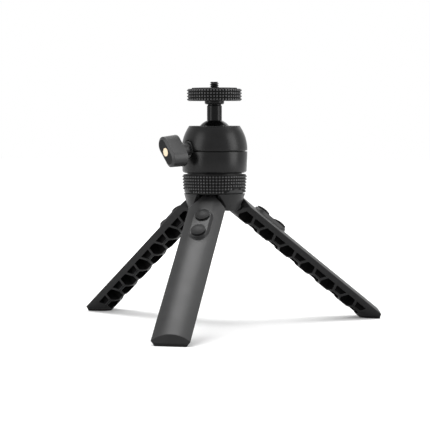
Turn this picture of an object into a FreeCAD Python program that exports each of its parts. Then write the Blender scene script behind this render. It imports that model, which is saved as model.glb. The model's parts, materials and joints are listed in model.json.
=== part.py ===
import FreeCAD, Part

import math
import os

import Sketcher

# Mini tripod with a ball head, standing open on its three legs.
# Row frame: the tripod's axis is Z, the floor is Z = 0, leg 1 points to -Y and leg 2 to +X +Y.

Vector = FreeCAD.Vector

os.makedirs("parts", exist_ok=True)
doc = FreeCAD.newDocument("mini_tripod")


# Driving dimensions, in millimetres and degrees

DRIVING = {
    # legs, measured down the outside line from below the pivot
    "leg_slope": 38.7,
    "leg_length": 128.3,
    "leg_width": 26.0,
    "leg_depth": 12.8,
    "crown_radius": 26.0,
    "nose_radius": 9.5,
    "tip_height": 7.7,
    "neck_width": 12.4,
    "neck_start": 0.2,
    "neck_length": 7.4,
    "head_width": 7.2,
    "head_start": -3.3,
    "hinge_room": 4.0,
    "top_arc": 50.0,
    "heel_reach": 5.2,
    "heel_depth": 9.0,
    "sole_thickness": 1.6,
    # hexagonal pockets inside each leg
    "cell_side": 6.4,
    "rib": 1.7,
    "skin": 3.2,
    "pocket_start": 4.5,
    "pocket_end": 123.2,
    "pocket_band": 19.2,
    # boss and keeper studs outside each leg
    "boss_length": 28.9,
    "boss_width": 14.2,
    "boss_height": 1.8,
    "boss_centre": 27.3,
    "boss_taper": 20.0,
    "stud_spacing": 15.0,
    "stud_head_radius": 5.0,
    "stud_dome": 1.3,
    "stud_neck_radius": 4.1,
    "stud_gap": 0.5,
    # hinges
    "pivot_radius": 13.5,
    "pivot_depth": 7.8,
    "pin_radius": 1.5,
    "pin_play": 0.06,
    "knuckle_radius": 3.0,
    "washer_thickness": 0.3,
    "slot_width": 13.2,
    "lug_thickness": 2.9,
    "lug_radius": 2.6,
    # hub with three ears
    "hub_rise": 8.2,
    "hub_drop": 3.2,
    "hub_top_radius": 21.1,
    "hub_bottom_radius": 18.0,
    "hub_core_radius": 7.5,
    "ear_top_width": 26.4,
    "ear_bottom_width": 9.8,
    # knurled collar
    "collar_height": 13.1,
    "collar_radius": 22.2,
    "collar_taper": 0.13,
    "collar_teeth": 64,
    "collar_rows": 6,
    "collar_floor": 4.0,
    "collar_bore": 17.0,
    "collar_lip_radius": 18.8,
    "window_half_width": 9.9,
    "window_rise": 3.3,
    "head_gap": 1.2,
    "knurl_pitch": 2.06,
    "knurl_depth": 0.6,
    "knurl_groove": 0.74,
    "knurl_slant": 0.35,
    # fasteners
    "bolt_radius": 3.0,
    "bolt_head_radius": 4.4,
    "bolt_head_height": 4.5,
    "bolt_hex": 5.0,
    "bolt_socket_depth": 3.0,
    "screw_circle": 14.6,
    "screw_radius": 1.25,
    "screw_head_radius": 2.2,
    "screw_head_height": 1.6,
    "screw_length": 10.0,
    # housing
    "shell_height": 14.8,
    "shell_bottom_radius": 22.1,
    "shell_top_radius": 22.6,
    "shell_chamfer": 0.9,
    "shell_floor": 3.7,
    "shell_bore": 16.8,
    "shell_boss_radius": 6.0,
    "shell_boss_height": 8.0,
    "seam_groove": 0.35,
    "spigot_radius": 18.45,
    "dome_height": 17.3,
    "dome_radius": 28.3,
    "dome_top_radius": 17.8,
    "dome_top_round": 0.7,
    # ball and what holds it
    "ball_radius": 13.0,
    "ball_height": 9.0,
    "socket_gap": 0.3,
    "seat_play": 0.05,
    "seat_radius": 17.6,
    "seat_bottom": 1.2,
    "seat_top": 2.4,
    "cup_top": 10.3,
    "cup_bore": 7.5,
    "cup_rim_radius": 12.5,
    "cup_flange": 2.0,
    "spring_rise": 2.5,
    "spring_thickness": 0.8,
    "spring_inner_radius": 8.0,
    "spring_outer_radius": 15.5,
    # neck and flange of the ball
    "neck_radius": 5.125,
    "neck_height": 22.5,
    "throat_radius": 4.6,
    "throat_height": 0.4,
    "flange_radius": 6.7,
    "flange_thickness": 2.4,
    "flange_chamfer": 0.6,
    # camera screw, its lock wheel and pad
    "thread_radius": 3.175,
    "thread_pitch": 1.27,
    "thread_groove": 0.42,
    "thread_depth": 0.35,
    "stud_end_chamfer": 0.7,
    "stud_stand": 4.1,
    "stud_depth": 10.3,
    "undercut_radius": 2.6,
    "undercut_height": 0.8,
    "wheel_radius": 18.8,
    "wheel_height": 8.3,
    "wheel_teeth": 56,
    "wheel_rows": 4,
    "thread_play": 0.05,
    "pad_radius": 15.5,
    "pad_bore": 4.0,
    "pad_thickness": 2.0,
    "pad_stand": 0.7,
    "pad_gap": 0.3,
    # lock knob and its screw
    "knob_azimuth": -132.3,
    "knob_dip": 5.0,
    "knob_axis_height": 5.77,
    "knob_reach": 40.15,
    "knob_depth": 11.6,
    "knob_length": 23.2,
    "knob_width": 11.9,
    "knob_flare": 2.0,
    "knob_tilt": 40.0,
    "knob_chamfer_depth": 1.85,
    "knob_chamfer_width": 1.1,
    "knob_boss_radius": 5.7,
    "knob_boss_end": 20.6,
    "knob_boss_front": 22.4,
    "knob_neck_radius": 4.2,
    "knob_pocket_radius": 6.4,
    "knob_pocket_floor": 20.0,
    "lock_thread_radius": 3.0,
    "lock_head_radius": 2.85,
    "lock_head_length": 9.0,
    "bush_radius": 4.2,
    "bush_end": 13.6,
    "shoe_length": 3.6,
    "shoe_end": 15.2,
    # fits
    "fit_play": 0.03,
}

sheet = doc.addObject("Spreadsheet::Sheet", "Sizes")
for row, (alias, number) in enumerate(DRIVING.items(), start=1):
    sheet.set(f"A{row}", alias)
    sheet.set(f"B{row}", str(number))
    sheet.setAlias(f"B{row}", alias)
doc.recompute()


# A size holds its number and the expression that ties it to the sheet

def as_size(value):
    if isinstance(value, Size):
        return value
    return Size(value, f"({float(value)})")


class Size:
    def __init__(self, number, text):
        self.number = float(number)
        self.text = text

    def __add__(self, other):
        other = as_size(other)
        return Size(self.number + other.number, f"({self.text} + {other.text})")

    def __sub__(self, other):
        other = as_size(other)
        return Size(self.number - other.number, f"({self.text} - {other.text})")

    def __mul__(self, other):
        other = as_size(other)
        return Size(self.number * other.number, f"({self.text} * {other.text})")

    def __truediv__(self, other):
        other = as_size(other)
        return Size(self.number / other.number, f"({self.text} / {other.text})")

    def __radd__(self, other):
        return as_size(other) + self

    def __rsub__(self, other):
        return as_size(other) - self

    def __rmul__(self, other):
        return as_size(other) * self

    def __neg__(self):
        return Size(-self.number, f"(-{self.text})")


def named(alias):
    return Size(sheet.get(alias), f"Sizes.{alias}")


def sine(angle):
    angle = as_size(angle)
    return Size(math.sin(math.radians(angle.number)), f"sin({angle.text})")


def cosine(angle):
    angle = as_size(angle)
    return Size(math.cos(math.radians(angle.number)), f"cos({angle.text})")


def root(value):
    value = as_size(value)
    return Size(math.sqrt(value.number), f"sqrt({value.text})")


def other_side(radius, side):
    # The second side of a right triangle below an arc of this radius
    return root(radius * radius - side * side)


# Helpers that make bound objects

def bind(thing, **sizes):
    for name, size in sizes.items():
        thing.setExpression(name, as_size(size).text)


def place(thing, at=(0, 0, 0), turn=(0, 0, 0), spin=0):
    # turn is yaw, pitch and roll; spin is a further turn about the piece's own Z
    spot = "; ".join(as_size(value).text for value in at)
    angles = "; ".join(as_size(value).text for value in turn)
    own = as_size(spin).text
    thing.setExpression(
        "Placement",
        f"placement(vector({spot}); rotation({angles}) * rotation({own}; 0; 0))",
    )


def cylinder(name, radius, height, at=(0, 0, 0), turn=(0, 0, 0)):
    thing = doc.addObject("Part::Cylinder", name)
    bind(thing, Radius=radius, Height=height)
    place(thing, at, turn)
    return thing


def block(name, length, width, height, at=(0, 0, 0), turn=(0, 0, 0)):
    thing = doc.addObject("Part::Box", name)
    bind(thing, Length=length, Width=width, Height=height)
    place(thing, at, turn)
    return thing


def joined(name, things, kind="Part::MultiFuse"):
    thing = doc.addObject(kind, name)
    if kind == "Part::Compound":
        thing.Links = things
    else:
        thing.Shapes = things
        thing.Refine = False
    return thing


def cut(name, base, tool):
    thing = doc.addObject("Part::Cut", name)
    thing.Refine = False
    thing.Base = base
    thing.Tool = tool
    return thing


def common(name, things):
    return joined(name, things, "Part::MultiCommon")


def arc_between(start, end, radius):
    # The short arc whose centre lies left of the way when the radius is positive
    chord = end - start
    left = Vector(-chord.y, chord.x, 0).normalize()
    half = chord.Length / 2
    sag = abs(radius) - math.sqrt(max(radius * radius - half * half, 0))
    middle = (start + end) / 2 - left * math.copysign(sag, radius)
    return Part.Arc(start, middle, end)


def outline(sketch, corners):
    # corners are (x, y), or (x, y, radius) where an arc leads on to the next corner
    points = [Vector(as_size(c[0]).number, as_size(c[1]).number, 0) for c in corners]
    curves = []
    for index, corner in enumerate(corners):
        start = points[index]
        end = points[(index + 1) % len(points)]
        if len(corner) == 3:
            curves.append(arc_between(start, end, as_size(corner[2]).number))
        else:
            curves.append(Part.LineSegment(start, end))
    lines = sketch.addGeometry(curves, False)
    ends = []
    for index, line in enumerate(lines):
        straight = (sketch.getPoint(line, 1) - points[index]).Length < 1e-6
        ends.append((1, 2) if straight else (2, 1))
    rules = []
    ties = []

    def rule(size, *details):
        if size is not None:
            ties.append((len(rules), size.text))
        rules.append(Sketcher.Constraint(*details))

    for index, line in enumerate(lines):
        following = (index + 1) % len(lines)
        rule(None, "Coincident", line, ends[index][1], lines[following], ends[following][0])
    for index, line in enumerate(lines):
        corner = corners[index]
        for kind, size, axis in (("DistanceX", corner[0], -2), ("DistanceY", corner[1], -1)):
            size = as_size(size)
            if size.number == 0:
                rule(None, "PointOnObject", line, ends[index][0], axis)
            else:
                rule(size, kind, -1, 1, line, ends[index][0], size.number)
        if len(corner) == 3:
            size = as_size(corner[2])
            size = -size if size.number < 0 else size
            rule(size, "Radius", line, size.number)
    sketch.addConstraint(rules)
    for spot, text in ties:
        sketch.setExpression(f"Constraints[{spot}]", text)


def stadium(length, width):
    half = (length - width) / 2
    radius = width / 2
    end = length / 2
    return [
        (-half, -radius), (half, -radius, radius), (end, 0, radius), (half, radius),
        (-half, radius, radius), (-end, 0, radius),
    ]


def body_sketch(body, name, role, corners, lift=None):
    sketch = body.newObject("Sketcher::SketchObject", name)
    plane = [item for item in body.Origin.OriginFeatures if item.Role == role][0]
    sketch.AttachmentSupport = [(plane, "")]
    sketch.MapMode = "FlatFace"
    if lift is not None:
        sketch.setExpression(".AttachmentOffset.Base.z", as_size(lift).text)
    outline(sketch, corners)
    return sketch


def turned(name, corners, body=None, kind="PartDesign::Revolution"):
    # A half section of (radius, height) corners, turned about the piece's Z axis
    if body is None:
        body = doc.addObject("PartDesign::Body", name)
    sketch = body_sketch(body, name + "_half_section", "XZ_Plane", corners)
    feature = body.newObject(kind, name + "_turned")
    feature.Profile = sketch
    feature.ReferenceAxis = (sketch, ["V_Axis"])
    feature.Angle = 360
    return body


def extrusion(name, corners, length, at=(0, 0, 0), turn=(0, 0, 0), back=0, taper=0):
    # A standing sketch, extruded along its normal by length, and back the other way
    sketch = doc.addObject("Sketcher::SketchObject", name + "_outline")
    place(sketch, at, turn)
    outline(sketch, corners)
    thing = doc.addObject("Part::Extrusion", name)
    thing.Base = sketch
    thing.DirMode = "Normal"
    thing.Solid = True
    bind(thing, LengthFwd=length, LengthRev=back, TaperAngle=taper)
    return thing


def copied(name, source):
    # A further copy of a finished piece, with a placement of its own
    body = doc.addObject("PartDesign::Body", name)
    base = doc.addObject("PartDesign::FeatureBase", name + "_base")
    body.Group = [base]
    base.BaseFeature = source
    body.Tip = base
    return body


subparts = []


def subpart(name, thing):
    thing.Label = name
    subparts.append(thing)
    return thing


# Sizes that follow from the driving ones

slope = named("leg_slope")
leg_length = named("leg_length")
leg_half = named("leg_width") / 2
leg_depth = named("leg_depth")
pivot_radius = named("pivot_radius")
pivot_depth = named("pivot_depth")
pivot_z = named("tip_height") + leg_length * sine(slope) - pivot_depth * cosine(slope)
slot_half = named("slot_width") / 2
knuckle_half = slot_half - named("washer_thickness")
pin_half = slot_half + named("lug_thickness")
hub_bottom = pivot_z - named("hub_drop")
hub_top = pivot_z + named("hub_rise")
collar_top = hub_top + named("collar_height")
shell_bottom = collar_top + named("head_gap")
seam = shell_bottom + named("shell_height")
dome_top = seam + named("dome_height")
ball_z = seam + named("ball_height")
flange_top = ball_z + named("neck_height") + named("throat_height") + named("flange_thickness")
wheel_top = flange_top + named("wheel_height")
pad_top = wheel_top + named("pad_stand")
stud_top = pad_top + named("stud_stand")
knob_z = ball_z - named("knob_axis_height")
LEGS = {1: -90, 2: 30, 3: 150}
POCKET_ROWS = 5
OVER = 1       # cutters start this far outside the face that they open
SPARE = 1.2    # stock is this many times as long as what it is trimmed to
EARS = [azimuth + 60 for azimuth in LEGS.values()]


def polar(radius, azimuth, height):
    return (radius * math.cos(math.radians(azimuth)), radius * math.sin(math.radians(azimuth)), height)


# Ball head: the ball with its neck, the camera screw, lock wheel and pad

def make_ball_stem():
    radius = named("ball_radius")
    neck = named("neck_radius")
    neck_top = ball_z + named("neck_height")
    throat_top = neck_top + named("throat_height")
    bore = named("thread_radius") + named("fit_play")
    bore_floor = flange_top - named("stud_depth")
    chamfer = named("flange_chamfer")
    flange = named("flange_radius")
    corners = [
        (0, ball_z - radius, radius),
        (radius, ball_z, radius),
        (neck, ball_z + other_side(radius, neck)),
        (neck, neck_top - (neck - named("throat_radius"))),
        (named("throat_radius"), neck_top),
        (named("throat_radius"), throat_top),
        (flange - chamfer, throat_top),
        (flange, throat_top + chamfer),
        (flange, flange_top),
        (bore, flange_top),
        (bore, bore_floor),
        (0, bore_floor),
    ]
    subpart("ball_stem", turned("ball_stem", corners))


def thread_corners(low, high):
    # The thread as rings: V grooves one pitch apart, centred between two heights
    radius = named("thread_radius")
    floor = radius - named("thread_depth")
    pitch = named("thread_pitch")
    half = named("thread_groove") / 2
    turns = int((high.number - low.number) / pitch.number)
    first = (low + high - pitch * (turns - 1)) / 2
    corners = []
    for turn in range(turns):
        middle = first + pitch * turn
        corners += [(radius, middle - half), (floor, middle), (radius, middle + half)]
    return corners


def make_camera_stud():
    radius = named("thread_radius")
    neck = named("undercut_radius")
    chamfer = named("stud_end_chamfer")
    foot = flange_top - named("stud_depth")
    neck_foot = pad_top - named("undercut_height")
    corners = [(0, foot), (radius, foot)]
    corners += thread_corners(foot, neck_foot)
    corners += [(radius, neck_foot), (neck, neck_foot), (neck, pad_top), (radius, pad_top)]
    corners += thread_corners(pad_top, stud_top - chamfer)
    corners += [(radius, stud_top - chamfer), (radius - chamfer, stud_top), (0, stud_top)]
    subpart("camera_stud", turned("camera_stud", corners))


def knurled_rows(name, crest, taper, teeth, rows, low, high, windows=()):
    # Rings of square teeth, their roots sunk in the plain rim that carries them
    pitch = named("knurl_pitch").number
    groove = named("knurl_groove").number
    depth = named("knurl_depth").number
    teeth = int(teeth.number)
    rows = int(rows.number)
    step = 2 * math.pi / teeth
    gap = groove / crest.number / 2
    slant = gap * named("knurl_slant").number
    margin = (high.number - low.number - rows * pitch) / 2
    rings = []
    for row in range(rows):
        outer = crest.number - taper.number * (rows - 1 - row)
        inner = outer - depth
        bottom = low.number + margin + row * pitch + groove / 2
        height = pitch - groove
        points = []
        for tooth in range(teeth):
            middle = tooth * step
            for angle, radius in (
                (middle - step / 2 + gap - slant, inner),
                (middle - step / 2 + gap + slant, outer),
                (middle + step / 2 - gap - slant, outer),
                (middle + step / 2 - gap + slant, inner),
            ):
                points.append(Vector(radius * math.cos(angle), radius * math.sin(angle), bottom))
        inside = rim_radius(crest, taper, rows).number - depth
        hole = Part.makeCircle(inside, Vector(0, 0, bottom))
        edge = Part.makePolygon(points + points[:1])
        face = Part.Face([edge, Part.Wire(hole)], "Part::FaceMakerCheese")
        ring = face.extrude(Vector(0, 0, height))
        for window in windows:
            if window.BoundBox.ZMax > bottom:
                ring = ring.cut(window)
        rings.append(ring)
    thing = doc.addObject("Part::Feature", name)
    thing.Shape = Part.makeCompound(rings)
    return thing


def rim_radius(crest, taper, rows):
    return crest - named("knurl_depth") - taper * rows


def make_lock_wheel():
    crest = named("wheel_radius")
    rows = named("wheel_rows")
    rim = rim_radius(crest, as_size(0), rows)
    bore = named("thread_radius") + named("thread_play")
    recess = named("pad_radius") + named("pad_gap")
    floor = pad_top - named("pad_thickness")
    corners = [
        (bore, flange_top), (rim, flange_top), (rim, wheel_top), (recess, wheel_top),
        (recess, floor), (bore, floor),
    ]
    body = turned("wheel_body", corners)
    teeth = knurled_rows(
        "wheel_teeth_rows", crest, as_size(0), named("wheel_teeth"), rows, flange_top, wheel_top)
    subpart("lock_wheel", joined("lock_wheel", [body, teeth]))


def make_camera_pad():
    floor = pad_top - named("pad_thickness")
    corners = [
        (named("pad_bore"), floor), (named("pad_radius"), floor),
        (named("pad_radius"), pad_top), (named("pad_bore"), pad_top),
    ]
    subpart("camera_pad", turned("camera_pad", corners))


# Housing: two shells, and the seat, cup and spring that hold the ball

def knob_cutter():
    floor = named("knob_pocket_floor")
    pocket = cylinder("knob_pocket", named("knob_pocket_radius"), floor, at=(0, 0, floor))
    start = named("bush_end")
    hole = cylinder("bush_hole", named("bush_radius") + named("fit_play"), floor - start, at=(0, 0, start))
    cutter = joined("knob_cutter", [pocket, hole])
    place(cutter, at=(0, 0, knob_z), turn=(named("knob_azimuth"), 90 + named("knob_dip"), 0))
    return cutter


def make_lower_housing(cutter):
    groove = named("seam_groove")
    bottom_radius = named("shell_bottom_radius")
    chamfer = named("shell_chamfer")
    top_radius = named("shell_top_radius")
    hole = named("bolt_radius") + named("fit_play")
    boss_top = shell_bottom + named("shell_boss_height")
    spigot_top = ball_z - named("seat_bottom")
    corners = [
        (hole, shell_bottom),
        (bottom_radius - chamfer, shell_bottom),
        (bottom_radius, shell_bottom + chamfer),
        (top_radius, seam - groove),
        (top_radius - groove, seam),
        (named("spigot_radius"), seam),
        (named("spigot_radius"), spigot_top),
        (named("shell_bore"), spigot_top),
        (named("shell_bore"), shell_bottom + named("shell_floor")),
        (named("shell_boss_radius"), shell_bottom + named("shell_floor")),
        (named("shell_boss_radius"), boss_top),
        (hole, boss_top),
    ]
    blank = turned("lower_housing_blank", corners)
    subpart("lower_housing", cut("lower_housing", blank, cutter))


def make_upper_housing(cutter):
    groove = named("seam_groove")
    top_radius = named("shell_top_radius")
    socket = named("ball_radius") + named("socket_gap")
    seat_top = ball_z + named("seat_top")
    spigot_top = ball_z - named("seat_bottom")
    spigot = named("spigot_radius") + named("fit_play")
    seat = named("seat_radius") + named("seat_play")
    bend = named("dome_top_round")
    rim = named("dome_top_radius")
    corners = [
        (spigot, seam),
        (top_radius - groove, seam),
        (top_radius, seam + groove, named("dome_radius")),
        (rim, dome_top - bend, bend),
        (rim - bend, dome_top),
        (other_side(socket, dome_top - ball_z), dome_top, -socket),
        (other_side(socket, named("seat_top")), seat_top),
        (seat, seat_top),
        (seat, spigot_top),
        (spigot, spigot_top),
    ]
    blank = turned("upper_housing_blank", corners)
    subpart("upper_housing", cut("upper_housing", blank, cutter))


def make_ball_seat_ring():
    inner = named("ball_radius") + named("seat_play")
    low = named("seat_bottom")
    high = named("seat_top")
    outer = named("seat_radius")
    corners = [
        (other_side(inner, low), ball_z - low),
        (outer, ball_z - low),
        (outer, ball_z + high),
        (other_side(inner, high), ball_z + high, -inner),
    ]
    subpart("ball_seat_ring", turned("ball_seat_ring", corners))


def make_ball_cup():
    dish = named("ball_radius") + named("socket_gap")
    rim = named("cup_rim_radius")
    bore = named("cup_bore")
    top = ball_z - named("cup_top")
    bottom = shell_bottom + named("shell_floor") + named("spring_rise")
    outer = named("shell_bore") - named("socket_gap")
    corners = [
        (bore, bottom),
        (outer, bottom),
        (outer, bottom + named("cup_flange")),
        (rim, bottom + named("cup_flange")),
        (rim, top),
        (other_side(dish, named("cup_top")), top, -dish),
        (bore, ball_z - other_side(dish, bore)),
    ]
    subpart("ball_cup", turned("ball_cup", corners))


def make_cup_spring():
    floor = shell_bottom + named("shell_floor")
    top = floor + named("spring_rise")
    thickness = named("spring_thickness")
    inner = named("spring_inner_radius")
    outer = named("spring_outer_radius")
    corners = [(inner, top - thickness), (outer, floor), (outer, floor + thickness), (inner, top)]
    subpart("cup_spring", turned("cup_spring", corners))


# Lock knob and what it drives; each is drawn along the knob's own axis, from the tripod's axis out

def on_knob_axis(thing, spin=0):
    place(thing, (0, 0, knob_z), (named("knob_azimuth"), 90 + named("knob_dip"), 0), spin)
    return thing


def make_lock_knob():
    body = doc.addObject("PartDesign::Body", "lock_knob")
    reach = named("knob_reach")
    back = reach - named("knob_depth")
    end = body_sketch(
        body, "knob_end", "XY_Plane", stadium(named("knob_length"), named("knob_width")), reach)
    wing = body.newObject("PartDesign::Pad", "knob_wing")
    wing.Profile = end
    wing.Reversed = True
    bind(wing, Length=named("knob_depth"), TaperAngle=named("knob_flare"))
    doc.recompute()
    faces = enumerate(wing.Shape.Faces, start=1)
    flat = [f"Face{spot}" for spot, face in faces
            if abs(face.CenterOfMass.z - reach.number) < 1e-3 and len(face.Edges) > 4]
    chamfer = body.newObject("PartDesign::Chamfer", "knob_edge")
    chamfer.Base = (wing, flat)
    chamfer.ChamferType = "Two distances"
    bind(chamfer, Size=named("knob_chamfer_width"), Size2=named("knob_chamfer_depth"))
    doc.recompute()
    boss = named("knob_boss_radius")
    low = named("knob_boss_end")
    front = named("knob_boss_front")
    neck = named("knob_neck_radius")
    corners = [(0, low), (boss, low), (boss, front), (neck, front), (neck, back), (0, back)]
    turned("knob_boss", corners, body)
    shaft = named("lock_thread_radius") + named("fit_play")
    head = named("lock_head_radius") + named("fit_play")
    seat = reach - named("lock_head_length")
    start = low - OVER
    end = reach + OVER
    corners = [(0, start), (shaft, start), (shaft, seat), (head, seat), (head, end), (0, end)]
    turned("knob_bore", corners, body, "PartDesign::Groove")
    subpart("lock_knob", on_knob_axis(body, named("knob_tilt")))


def make_lock_screw():
    shaft = named("lock_thread_radius")
    head = named("lock_head_radius")
    reach = named("knob_reach") - named("fit_play")
    seat = named("knob_reach") - named("lock_head_length")
    start = named("shoe_end")
    corners = [(0, start), (shaft, start), (shaft, seat), (head, seat), (head, reach), (0, reach)]
    subpart("lock_screw", on_knob_axis(turned("lock_screw", corners)))


def make_lock_bush():
    bore = named("lock_thread_radius") + named("seat_play")
    start = named("bush_end")
    end = named("knob_pocket_floor") - named("fit_play")
    outer = named("bush_radius")
    corners = [(bore, start), (outer, start), (outer, end), (bore, end)]
    subpart("lock_bush", on_knob_axis(turned("lock_bush", corners)))


def make_friction_shoe():
    end = named("shoe_end")
    start = end - named("shoe_length")
    plug = cylinder("shoe_plug", named("lock_thread_radius"), end - start, at=(0, 0, start))
    dish = doc.addObject("Part::Sphere", "shoe_dish")
    bind(dish, Radius=named("ball_radius") + named("seat_play"))
    rise = ball_z - knob_z
    place(dish, at=(-rise * cosine(named("knob_dip")), 0, -rise * sine(named("knob_dip"))))
    subpart("friction_shoe", on_knob_axis(cut("friction_shoe", plug, dish)))


# Base: knurled collar, hub and their fasteners

def around(name, maker, azimuths):
    return [maker(f"{name}_{index}", azimuth) for index, azimuth in enumerate(azimuths, start=1)]


def collar_windows():
    # A smooth lens at the collar's foot above each ear, where the teeth stop at the rim
    half = named("window_half_width").number
    rise = named("window_rise").number
    bend = (half * half + rise * rise) / (2 * rise)
    rim = rim_radius(named("collar_radius"), named("collar_taper"), named("collar_rows")).number
    reach = named("collar_radius").number * 2
    level = hub_top.number + rise - bend
    inside = Part.makeCylinder(rim, reach * 2, Vector(0, 0, level - reach))
    lenses = []
    for azimuth in EARS:
        outwards = Vector(*polar(1, azimuth, 0))
        lenses.append(Part.makeCylinder(bend, reach, Vector(0, 0, level), outwards).cut(inside))
    return lenses


def make_knurled_collar():
    crest = named("collar_radius")
    taper = named("collar_taper")
    rows = named("collar_rows")
    rim = rim_radius(crest, taper, rows)
    floor = hub_top + named("collar_floor")
    bolt_hole = named("bolt_radius") + named("fit_play")
    corners = [
        (bolt_hole, hub_top), (rim, hub_top), (rim, collar_top), (named("collar_lip_radius"), collar_top),
        (named("collar_lip_radius"), shell_bottom), (named("collar_bore"), shell_bottom),
        (named("collar_bore"), floor), (named("hub_core_radius"), floor),
        (named("hub_core_radius"), shell_bottom), (bolt_hole, shell_bottom),
    ]
    body = turned("collar_body", corners)

    def hole(name, azimuth):
        spot = polar(named("screw_circle"), azimuth, hub_top - OVER)
        height = named("collar_floor") + OVER * 2
        return cylinder(name, named("screw_radius") + named("fit_play"), height, at=spot)

    holes = joined("collar_screw_holes", around("collar_screw_hole", hole, EARS), "Part::Compound")
    drilled = cut("collar_drilled", body, holes)
    teeth = knurled_rows(
        "collar_teeth_rows", crest, taper, named("collar_teeth"), rows, hub_top, collar_top,
        collar_windows())
    subpart("knurled_collar", joined("knurled_collar", [drilled, teeth]))


def pin_at(name, azimuth, radius):
    # A cylinder along one leg's hinge axis, across the ears on both sides
    side = polar(pin_half, azimuth + 90, 0)
    spot = polar(pivot_radius, azimuth, pivot_z)
    start = tuple(a - b for a, b in zip(spot, side))
    return cylinder(name, radius, pin_half * 2, at=start, turn=(azimuth + 90, 90, 0))


def make_hub():
    height = hub_top - hub_bottom
    reach = named("hub_top_radius") * SPARE
    start = named("hub_core_radius")
    cone = doc.addObject("Part::Cone", "hub_cone")
    bind(cone, Radius1=named("hub_bottom_radius"), Radius2=named("hub_top_radius"), Height=height)
    place(cone, at=(0, 0, hub_bottom))
    core = cylinder("hub_core", root(start * start + slot_half * slot_half), height, at=(0, 0, hub_bottom))
    top = named("ear_top_width") / 2
    bottom = named("ear_bottom_width") / 2

    def ear(name, azimuth):
        corners = [(-bottom, 0), (bottom, 0), (top, height), (-top, height)]
        return extrusion(name, corners, reach, at=(0, 0, hub_bottom), turn=(azimuth + 90, 0, 90))

    def lug(name, azimuth):
        radius = named("lug_radius")
        rise = named("hub_rise")
        corners = [
            (pivot_radius + radius, pivot_z, -radius), (pivot_radius, pivot_z - radius, -radius),
            (pivot_radius - radius, pivot_z), (pivot_radius - radius, pivot_z + rise),
            (pivot_radius + radius, pivot_z + rise),
        ]
        return extrusion(name, corners, pin_half, turn=(azimuth, 0, 90), back=pin_half)

    def slot(name, azimuth):
        turn = math.radians(azimuth)
        corner = (
            start * math.cos(turn) + slot_half * math.sin(turn),
            start * math.sin(turn) - slot_half * math.cos(turn),
            hub_bottom - height / 2,
        )
        return block(name, reach, named("slot_width"), height * 2, at=corner, turn=(azimuth, 0, 0))

    # the core fills the middle out to the flat floors of the three slots
    ears = joined("hub_ears", around("ear", ear, EARS) + around("lug", lug, LEGS.values()) + [core])
    body = common("hub_blank", [cone, ears])

    def pin_hole(name, azimuth):
        return pin_at(name, azimuth, named("pin_radius") + named("fit_play"))

    def screw_room(name, azimuth):
        spot = polar(named("screw_circle"), azimuth, hub_bottom - OVER)
        shank = cylinder(name + "_shank", named("screw_radius") + named("fit_play"), height * 2, at=spot)
        head = cylinder(
            name + "_head", named("screw_head_radius") + named("fit_play"),
            screw_bottom() + named("screw_head_height") - hub_bottom + OVER, at=spot)
        return joined(name, [shank, head])

    bolt_hole = cylinder(
        "hub_bolt_hole", named("bolt_radius") + named("fit_play"), height * 2,
        at=(0, 0, hub_bottom - height / 2))
    bolt_room = cylinder(
        "hub_bolt_room", named("bolt_head_radius") + named("socket_gap"),
        named("bolt_head_height") + OVER, at=(0, 0, hub_bottom - OVER))
    cutters = around("slot", slot, LEGS.values()) + [joined("hub_bolt_cutter", [bolt_hole, bolt_room])]
    cutters += around("pin_hole", pin_hole, LEGS.values())
    cutters += around("hub_screw_room", screw_room, EARS)
    subpart("hub", cut("hub", body, joined("hub_cutter", cutters)))


def screw_bottom():
    return hub_top + named("collar_floor") - named("screw_length")


def make_head_bolt():
    shank = named("bolt_radius")
    head = named("bolt_head_radius")
    top = shell_bottom + named("shell_boss_height")
    under = hub_bottom + named("bolt_head_height")
    corners = [(0, hub_bottom), (head, hub_bottom), (head, under), (shank, under), (shank, top), (0, top)]
    blank = turned("head_bolt_blank", corners)
    socket = doc.addObject("Part::Prism", "bolt_socket")
    socket.Polygon = 6
    bind(socket, Circumradius=named("bolt_hex") / 2 / cosine(30), Height=named("bolt_socket_depth") + OVER)
    place(socket, at=(0, 0, hub_bottom - OVER))
    subpart("head_bolt", cut("head_bolt", blank, socket))


def make_collar_screws():
    bottom = screw_bottom()
    under = bottom + named("screw_head_height")

    def screw(name, azimuth):
        spot = polar(named("screw_circle"), azimuth, bottom)
        head = cylinder(name + "_head", named("screw_head_radius"), named("screw_head_height"), at=spot)
        spot = polar(named("screw_circle"), azimuth, under)
        shank = cylinder(
            name + "_shank", named("screw_radius"),
            named("screw_length") - named("screw_head_height"), at=spot)
        return joined(name, [head, shank])

    screws = around("collar_screw", screw, EARS)
    subpart("collar_screws", joined("collar_screws", screws, "Part::Compound"))


# One leg, drawn about its hinge pin: X down the leg, Y across it, Z out of its outer face

def leg_profile():
    # Side view as (u, outward) corners; the outer line lies pivot_depth outside the pin
    outer = pivot_depth
    inner = pivot_depth - leg_depth
    tip = named("tip_height")
    end_u = leg_length + tip * sine(slope)
    end_out = outer - tip * cosine(slope)
    sole = (end_out - inner) / sine(slope)
    back = named("top_arc")
    return [
        (0, outer),
        (-outer * sine(back), outer * cosine(back)),
        (-named("heel_reach"), outer - named("heel_depth")),
        (0, inner),
        (end_u - sole * cosine(slope), inner),
        (end_u, end_out),
        (leg_length, outer),
    ]


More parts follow.
